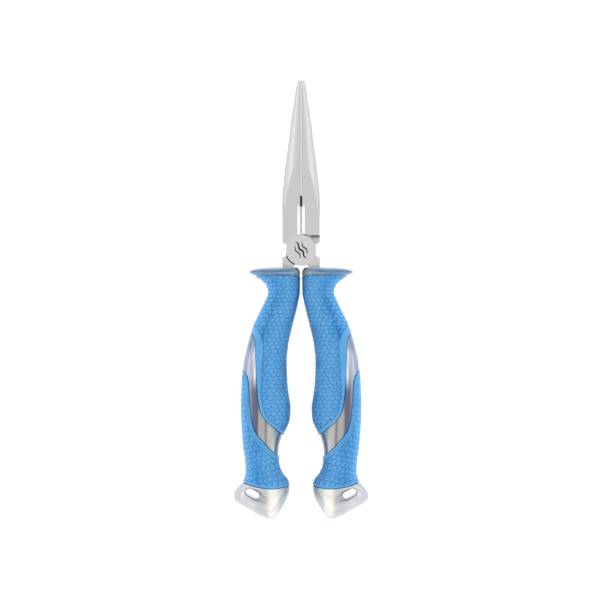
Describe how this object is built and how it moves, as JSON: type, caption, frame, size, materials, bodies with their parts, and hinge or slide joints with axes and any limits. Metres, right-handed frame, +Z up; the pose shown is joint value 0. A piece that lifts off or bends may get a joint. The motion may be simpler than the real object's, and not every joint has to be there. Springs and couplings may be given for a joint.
{
  "type": "fishing pliers",
  "caption": "Long-nose fishing pliers with side cutters in a lap joint and blue scale-textured soft grips on pearl plastic handles with finger guards and lanyard holes.",
  "frame": {"origin": "centre of the footprint, on the plane the pliers lie on", "axes": "+X to the right handle, +Y towards the jaw tips, +Z up out of the front face"},
  "size_m": [0.062, 0.2024, 0.019],
  "materials": {
    "satin_steel": "satin",
    "bright_steel": "satin",
    "blue_soft_grip": "satin",
    "silver_pearl_plastic": "pearl gloss",
    "blue_pearl_plastic": "pearl gloss",
    "white_pearl_plastic": "pearl gloss"
  },
  "bodies": {
    "front_lever_body": {"front_lever": "satin_steel", "pivot_rivet": "bright_steel", "right_guard": "blue_pearl_plastic", "right_upper_sleeve": "blue_soft_grip", "right_lower_sleeve": "blue_soft_grip", "right_core_front": "silver_pearl_plastic", "right_core_back": "silver_pearl_plastic", "right_upper_tang_pin": "bright_steel", "right_lower_tang_pin": "bright_steel", "right_butt_cap": "white_pearl_plastic"},
    "back_lever_body": {"back_lever": "satin_steel", "left_guard": "blue_pearl_plastic", "left_upper_sleeve": "blue_soft_grip", "left_lower_sleeve": "blue_soft_grip", "left_core_front": "silver_pearl_plastic", "left_core_back": "silver_pearl_plastic", "left_upper_tang_pin": "bright_steel", "left_lower_tang_pin": "bright_steel", "left_butt_cap": "white_pearl_plastic"}
  },
  "joints": [
    {"name": "jaw_pivot", "type": "hinge", "parent": "front_lever_body", "child": "back_lever_body", "pos_m": [0, 0.023, 0.0095], "axis": [0, 0, -1], "range_deg": [0, 40]}
  ]
}
